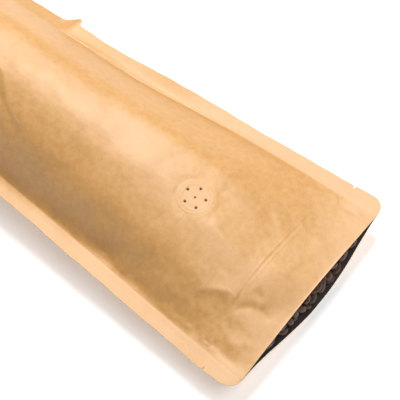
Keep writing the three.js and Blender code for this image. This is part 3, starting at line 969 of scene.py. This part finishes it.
def zip_piece(name, face, profile):
    """A strip with its ribs, swept across the inside of a panel. The profile's points are
    (along the pouch, depth under the panel's inner face)."""
    steps = 140
    detail = front_detail if face == FRONT else back_detail
    x = np.linspace(-ZIP_REACH, ZIP_REACH, steps + 1) * half_chord(ZIP_FROM_MOUTH)
    rings = []
    for along, depth in profile:
        y = np.full_like(x, ZIP_FROM_MOUTH + along)
        c = x / half_chord(y)
        inward = np.minimum(detail(c, y), 0.3) - ZIP_GAP - depth
        rings.append(panel_base(c, y, face) + panel_normal(c, y, face) * inward[:, None])
    rings = np.stack(rings, 1)
    count = len(profile)
    faces = []
    for i in range(steps):
        for k in range(count):
            a, b = i * count + k, i * count + (k + 1) % count
            faces.append([a, b, b + count, a + count])
    faces += [range(count)[::-1], range(steps * count, (steps + 1) * count)]
    if face == FRONT:
        faces = [corners[::-1] for corners in faces]
    piece = build_mesh(name, rings.reshape(-1, 3), faces, [0] * len(faces), [zip_plastic])
    select_only(piece)
    bpy.ops.object.shade_smooth_by_angle(angle=math.radians(35))
    piece.select_set(False)
    return piece


HALF_FLANGE = ZIP_FLANGE / 2
FLANGE_THICK = 0.3


def mirrored(half):
    return half + [(-along, depth) for along, depth in half[::-1] if along]


FLANGE = [(-HALF_FLANGE, 0), (-HALF_FLANGE, FLANGE_THICK)]
ARROW = mirrored(FLANGE + [
    (-0.4, FLANGE_THICK), (-0.4, 1.2), (-0.95, 1.3), (-0.9, 1.55), (0, 2.2),
])
JAWS = mirrored(FLANGE + [
    (-2.1, FLANGE_THICK), (-2.1, 1.7), (-1.6, 2.1), (-0.8, 1.75), (-0.9, 1.5), (-1.35, 1.5),
    (-1.35, FLANGE_THICK + 0.1),
])

zip_front = zip_piece("zip_front", FRONT, ARROW)
zip_back = zip_piece("zip_back", BACK, JAWS)

# ---- beans

BEAN_KINDS = (
    # length, width, height, bend of the cleft
    (11.2, 8.4, 5.7, 0.10),
    (10.4, 8.3, 5.4, -0.13),
    (11.8, 8.2, 5.6, 0.16),
    (10.0, 7.7, 5.3, 0.06),
    (10.9, 8.8, 5.9, -0.08),
)
CLEFT_DEPTH, CLEFT_REACH = 0.42, 0.10
LIP_HEIGHT, LIP_PLACE, LIP_REACH = 0.06, 0.2, 0.13
LUMP = 0.014


def bean_points(rings, segments, length, width, height, bend, seed):
    """A roasted bean about its middle: domed on top, nearly flat with a curved cleft below. Also the
    points of the ball that it is formed from, and how deep in the cleft each one lies."""
    rng = np.random.default_rng(seed)
    theta = np.linspace(0, math.pi, rings + 1)[1:-1]
    phi = np.arange(segments) * 2 * math.pi / segments
    t, p = np.meshgrid(theta, phi, indexing="ij")
    ball = np.stack([np.cos(t), np.sin(t) * np.cos(p), np.sin(t) * np.sin(p)], -1).reshape(-1, 3)
    ball = np.concatenate([[[1.0, 0, 0]], ball, [[-1.0, 0, 0]]])
    x, y, z = ball.T
    across = y * (1 + 0.08 * x) * (1 - 0.06 * x * x)
    off_cleft = across - bend * np.sin(math.pi * x * 0.9)
    body = np.clip(1 - x * x, 0, 1)
    lower = z < -0.15
    cleft = bump(off_cleft, 0, CLEFT_REACH) * body**0.35
    lips = bump(np.abs(off_cleft), LIP_PLACE, LIP_REACH) * body**0.5
    belly = np.where(z < 0, -np.abs(z) ** 0.72 * 0.62, np.abs(z) ** 0.92)
    belly = belly + np.where(lower, CLEFT_DEPTH * cleft - LIP_HEIGHT * lips, 0)
    lumps = np.zeros_like(x)
    for _ in range(5):
        k = rng.normal(0, 1.7, 3)
        lumps += LUMP * np.sin(ball @ k + rng.uniform(0, 6.3))
    shape = np.stack([x * length / 2, across * width / 2, belly * height * 0.6], -1)
    return shape * (1 + lumps)[:, None], ball, np.where(lower, cleft, 0)


def bean_faces(rings, segments):
    turn = [(k, (k + 1) % segments) for k in range(segments)]
    last = 1 + (rings - 1) * segments
    base = last - segments
    faces = [[0, 1 + k, 1 + n] for k, n in turn]
    for a in range(1, base, segments):
        faces += [[a + k, a + segments + k, a + segments + n, a + n] for k, n in turn]
    return faces + [[base + k, last, base + n] for k, n in turn]


CORE_FROM_MOUTH = 13.0
CORE_LENGTH = 191
CORE_SHARES = (0.62, 0.86)  # of the width that it fills, at the mouth and further in
CORE_UNDER_HEAP, CORE_UNDER_PANEL, CORE_OVER_BACK = 8.0, 4.0, 0.9
SHOWN_BEANS_REACH = 66.0


def heap_level(y):
    return HEAP_MOUTH_HEIGHT + HEAP_SLOPE * y


def bean_mesh(name, points, faces, tone, groove, own_place):
    piece = build_mesh(name, points, faces, [0] * len(faces), [bean_skin])
    float_attribute(piece, "tone", tone)
    float_attribute(piece, "groove", groove)
    place = piece.data.attributes.new("own_place", "FLOAT_VECTOR", "POINT")
    place.data.foreach_set("vector", own_place.astype(np.float32).ravel())
    return piece


def core_piece():
    """What the shown beans lie on: the heap, drawn in by the depth of two beans on its free face."""
    rows, columns = 26, 81
    lengths = CORE_FROM_MOUTH + 1 + CORE_LENGTH * np.linspace(0, 1, rows) ** 1.6
    share, y = np.meshgrid(np.linspace(-1, 1, columns), lengths)
    s = share * mix(*CORE_SHARES, smoothstep(0, MOUTH_BLEND, y))
    x = s * half_chord(y)
    low = back_height(s, y) + CORE_OVER_BACK
    high = np.minimum(heap_level(y) - CORE_UNDER_HEAP, front_shape(s, y) - CORE_UNDER_PANEL)
    pebbles = 0.7 * relief(FINE_WAVES, x * 0.6, y * 0.6)
    high = np.maximum(high + pebbles, low + 0.4)
    points = np.concatenate([np.stack([x, y, z], -1).reshape(-1, 3) for z in (high, low)])
    lower = grid_quads(rows, columns, rows * columns, True)
    faces = np.concatenate([grid_quads(rows, columns), lower, rim_quads(rows, columns)])
    tone, groove = np.full(len(points), 0.15), np.zeros(len(points))
    return bean_mesh("bean_core", points, faces, tone, groove, points / 5)


SIM_SCALE = 0.1  # one unit of the settling is a centimetre
SETTLE_FRAMES = 90
SETTLED_UNDER_HEAP = 7.5
BOARD_FROM_MOUTH = 0.6
DROP_LAYERS = 3
DROP_ROW_PITCH = 10.5
NEAR_BOARD = 9  # nearer the mouth the beans are dropped more evenly and lie along the board


def collider(name, points, faces, kind, shape):
    """A body of the settling, from points in millimetres."""
    body = new_object(name, np.asarray(points) * SIM_SCALE, faces)
    select_only(body)
    bpy.ops.rigidbody.object_add(type=kind)
    settings = body.rigid_body
    settings.collision_shape = shape
    settings.use_margin = True
    settings.collision_margin = 0.004
    settings.friction = 0.75
    settings.restitution = 0.0
    return body


def settle_trough():
    """The trough of the back panel with the heap's core in it."""
    rows, columns = 60, 61
    share, y = np.meshgrid(np.linspace(-1.0, 1.0, columns), np.linspace(-6, 94, rows))
    inside = np.maximum(y, 0.0)
    low = back_height(share, inside) + 0.3
    pebbles = 0.8 * relief(FINE_WAVES, share * 40, inside * 0.7)
    level = heap_level(inside) - SETTLED_UNDER_HEAP + pebbles
    height = np.maximum(low, np.where(inside > CORE_FROM_MOUTH, level, low))
    points = np.stack([share * half_chord(inside), y, height], -1).reshape(-1, 3)
    return collider("settle_ground", points, grid_quads(rows, columns), "PASSIVE", "MESH")


def settle_board():
    """A board across the mouth, which holds the beans back while they settle."""
    x0, x1, y0, y1, z0, z1 = -75, 75, BOARD_FROM_MOUTH - 8, BOARD_FROM_MOUTH, -5, 80
    outline = ((x0, y0), (x1, y0), (x1, y1), (x0, y1))
    points = [(x, y, z) for z in (z0, z1) for x, y in outline]
    faces = [(0, 3, 2, 1), (4, 5, 6, 7), (0, 1, 5, 4), (1, 2, 6, 5), (2, 3, 7, 6), (3, 0, 4, 7)]
    return collider("settle_board", points, faces, "PASSIVE", "CONVEX_HULL")


def drops(seed=11):
    """Beans in layers of rows: each one's kind, size, place and turn, and if it is turned over."""
    rng = np.random.default_rng(seed)
    for layer in range(DROP_LAYERS):
        y = 5.0 + 0.8 * layer
        while y < SHOWN_BEANS_REACH:
            near_board = y < NEAR_BOARD
            width = half_chord(y) * mix(0.6, 0.9, smoothstep(0, MOUTH_BLEND, y)) - 4
            x = -width + rng.uniform(0, 6)
            while x < width:
                kind = int(rng.integers(len(BEAN_KINDS)))
                size = float(rng.uniform(0.94, 1.05))
                under = float(back_height(x / half_chord(y), y))
                if y > CORE_FROM_MOUTH:
                    under = max(under, heap_level(y) - SETTLED_UNDER_HEAP)
                place = Vector((x, y + rng.uniform(-1.5, 1.5), under + 4.2 + 8 * layer))
                turn = rng.uniform(0, 2 * math.pi, 3) * (0.25, 0.25, 0.12 if near_board else 1.0)
                yield kind, size, place, turn, rng.uniform() < 0.5
                x += rng.uniform(11.6, 12.6) if near_board else rng.uniform(10.5, 13.5)
            y += DROP_ROW_PITCH


def settle_beans():
    """Drops beans on the heap's free face and gives the places where they come to rest."""
    scene = bpy.context.scene
    bpy.ops.rigidbody.world_add()
    world = scene.rigidbody_world
    world.substeps_per_frame = 12
    world.solver_iterations = 20
    world.point_cache.frame_start = 1
    world.point_cache.frame_end = SETTLE_FRAMES
    scene.gravity = (0, -8, -60)
    made = [settle_trough(), settle_board()]

    rings, segments = 6, 10
    faces = bean_faces(rings, segments)
    beans = []
    for kind, size, place, turn, turned_over in drops():
        shape = [v * size for v in BEAN_KINDS[kind][:3]]
        points, _, _ = bean_points(rings, segments, *shape, 0.0, kind)
        body = collider(f"settle_{len(beans)}", points, faces, "ACTIVE", "CONVEX_HULL")
        body.rigid_body.mass = 1.0
        body.rigid_body.linear_damping = 0.25
        body.rigid_body.angular_damping = 0.55
        body.location = place * SIM_SCALE
        body.rotation_euler = turn
        if turned_over:
            body.rotation_euler.x += math.pi
        made.append(body)
        beans.append((body, kind, size))
    for number in range(1, SETTLE_FRAMES + 1):
        scene.frame_set(number)
    graph = bpy.context.evaluated_depsgraph_get()
    rests = []
    for body, kind, size in beans:
        place = np.array(body.evaluated_get(graph).matrix_world)
        place[:3, 3] /= SIM_SCALE
        rests.append((place, kind, size))
    bpy.ops.rigidbody.world_remove()
    for body in made:
        mesh = body.data
        bpy.data.objects.remove(body)
        bpy.data.meshes.remove(mesh)
    scene.frame_set(1)
    return rests


def lies_inside(points):
    """If a bean lies wholly behind the mouth, under the front panel and over the back one."""
    x, y, z = points.T
    along = np.maximum(y, 0)
    s = x / half_chord(along)
    inside = np.clip(s, -1, 1)
    roof = front_shape(inside, along) + np.minimum(front_detail(inside, along), 0)
    ground = back_height(inside, along) - 0.5
    return y.min() >= 0.1 and np.abs(s).max() <= 1 and (z <= roof).all() and (z >= ground).all()


def beans_piece(rests, seed=5):
    """All settled beans that lie inside the pouch, joined into one mesh."""
    rings, segments = 16, 22
    pattern = bean_faces(rings, segments)
    rng = np.random.default_rng(seed)
    points, faces, tone, groove, own_place = [], [], [], [], []
    start = 0
    for place, kind, size in rests:
        *shape, bend = BEAN_KINDS[kind]
        shape = [v * size for v in shape]
        bean, ball, cleft = bean_points(rings, segments, *shape, bend, kind)
        bean = bean @ place[:3, :3].T + place[:3, 3]
        if place[1, 3] > SHOWN_BEANS_REACH + 8 or not lies_inside(bean):
            continue
        points.append(bean)
        faces += [[start + corner for corner in face] for face in pattern]
        tone.append(np.full(len(bean), rng.beta(1.6, 2.2)))
        groove.append(cleft)
        own_place.append(ball + rng.uniform(-40, 40, 3))
        start += len(bean)
    values = [np.concatenate(part) for part in (tone, groove, own_place)]
    return bean_mesh("beans_real", np.concatenate(points), faces, *values)


bean_core = core_piece()
beans = beans_piece(settle_beans())

# ---- riding, and hiding the CAD parts that these pieces replace

for piece, nodes, slot in (
    (front_panel, ("pouch",), "kraft"),
    (back_panel, ("pouch",), "kraft"),
    (gusset, ("pouch",), "kraft"),
    (zip_front, ("zip_strip_front",), "zip_plastic"),
    (zip_back, ("zip_strip_back",), "zip_plastic"),
    (bean_core, ("beans",), "roasted_beans"),
    (beans, ("beans",), "roasted_beans"),
):
    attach(piece, "root")
    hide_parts(*nodes)

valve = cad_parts["degassing_valve"]
valve.data.materials.clear()
valve.data.materials.append(valve_plastic)

# ---- floor, light and camera

FLOOR_SIZE = 8
FLOOR_DROP = 0.0002
LIGHT_DISTANCE = 1.5
LIGHT_SIZE = 0.7
KEY_DIRECTION, KEY_POWER = (0.35, 0.20, 0.91), 27.6
FILL_DIRECTION, FILL_POWER = (0.0, -0.45, 0.89), 8.5
SKY_COLOUR, SKY_STRENGTH = (1.0, 0.99, 0.975, 1), 0.12

FRAME_PIXELS = 400
FOCAL_PIXELS = 1931.4
SENSOR = 36.0
CAMERA_TURNS = (-41.43, 63.0, -11.0)  # azimuth, elevation and roll, in degrees
CAMERA_TARGET = (12.43, 95.84, 20.0)  # in the pouch's axes, in millimetres
CAMERA_DISTANCE = 1.2

bpy.ops.mesh.primitive_plane_add(size=FLOOR_SIZE, location=(0, 0, -FLOOR_DROP))
floor = bpy.context.object
floor.name = "floor"
floor.data.materials.append(floor_material())
floor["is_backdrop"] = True

scene = bpy.context.scene
scene.view_settings.view_transform = "Standard"
scene.view_settings.look = "None"

world = bpy.data.worlds.new("studio")
scene.world = world
world.use_nodes = True
background = world.node_tree.nodes["Background"]
background.inputs["Color"].default_value = SKY_COLOUR
background.inputs["Strength"].default_value = SKY_STRENGTH


def area_light(name, direction, power):
    data = bpy.data.lights.new(name, "AREA")
    data.shape = "DISK"
    data.size = LIGHT_SIZE
    data.energy = power
    light = bpy.data.objects.new(name, data)
    scene.collection.objects.link(light)
    along = Vector(direction).normalized()
    light.location = along * LIGHT_DISTANCE
    light.rotation_mode = "QUATERNION"
    light.rotation_quaternion = along.to_track_quat("Z", "Y")


area_light("key", KEY_DIRECTION, KEY_POWER)
area_light("fill", FILL_DIRECTION, FILL_POWER)

azimuth, elevation, roll = (math.radians(v) for v in CAMERA_TURNS)
look = Vector((
    -math.sin(azimuth) * math.cos(elevation),
    math.cos(azimuth) * math.cos(elevation),
    -math.sin(elevation),
))
level = Vector((math.cos(azimuth), math.sin(azimuth), 0))
upright = level.cross(look)
right = math.cos(roll) * level + math.sin(roll) * upright
up = -math.sin(roll) * level + math.cos(roll) * upright
camera_data = bpy.data.cameras.new("camera")
camera_data.sensor_width = SENSOR
camera_data.lens = FOCAL_PIXELS / FRAME_PIXELS * SENSOR
camera_data.clip_start = 0.05
camera_data.clip_end = 20
camera = bpy.data.objects.new("camera", camera_data)
scene.collection.objects.link(camera)
turn = Matrix((right, up, -look)).transposed().to_4x4()
target = Vector(to_row(CAMERA_TARGET))
camera.matrix_world = Matrix.Translation(target - look * CAMERA_DISTANCE) @ turn
scene.camera = camera

boxes = {"cad": cad_box, "visual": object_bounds()}
{name: [list(corner) for corner in box] for name, box in boxes.items()}
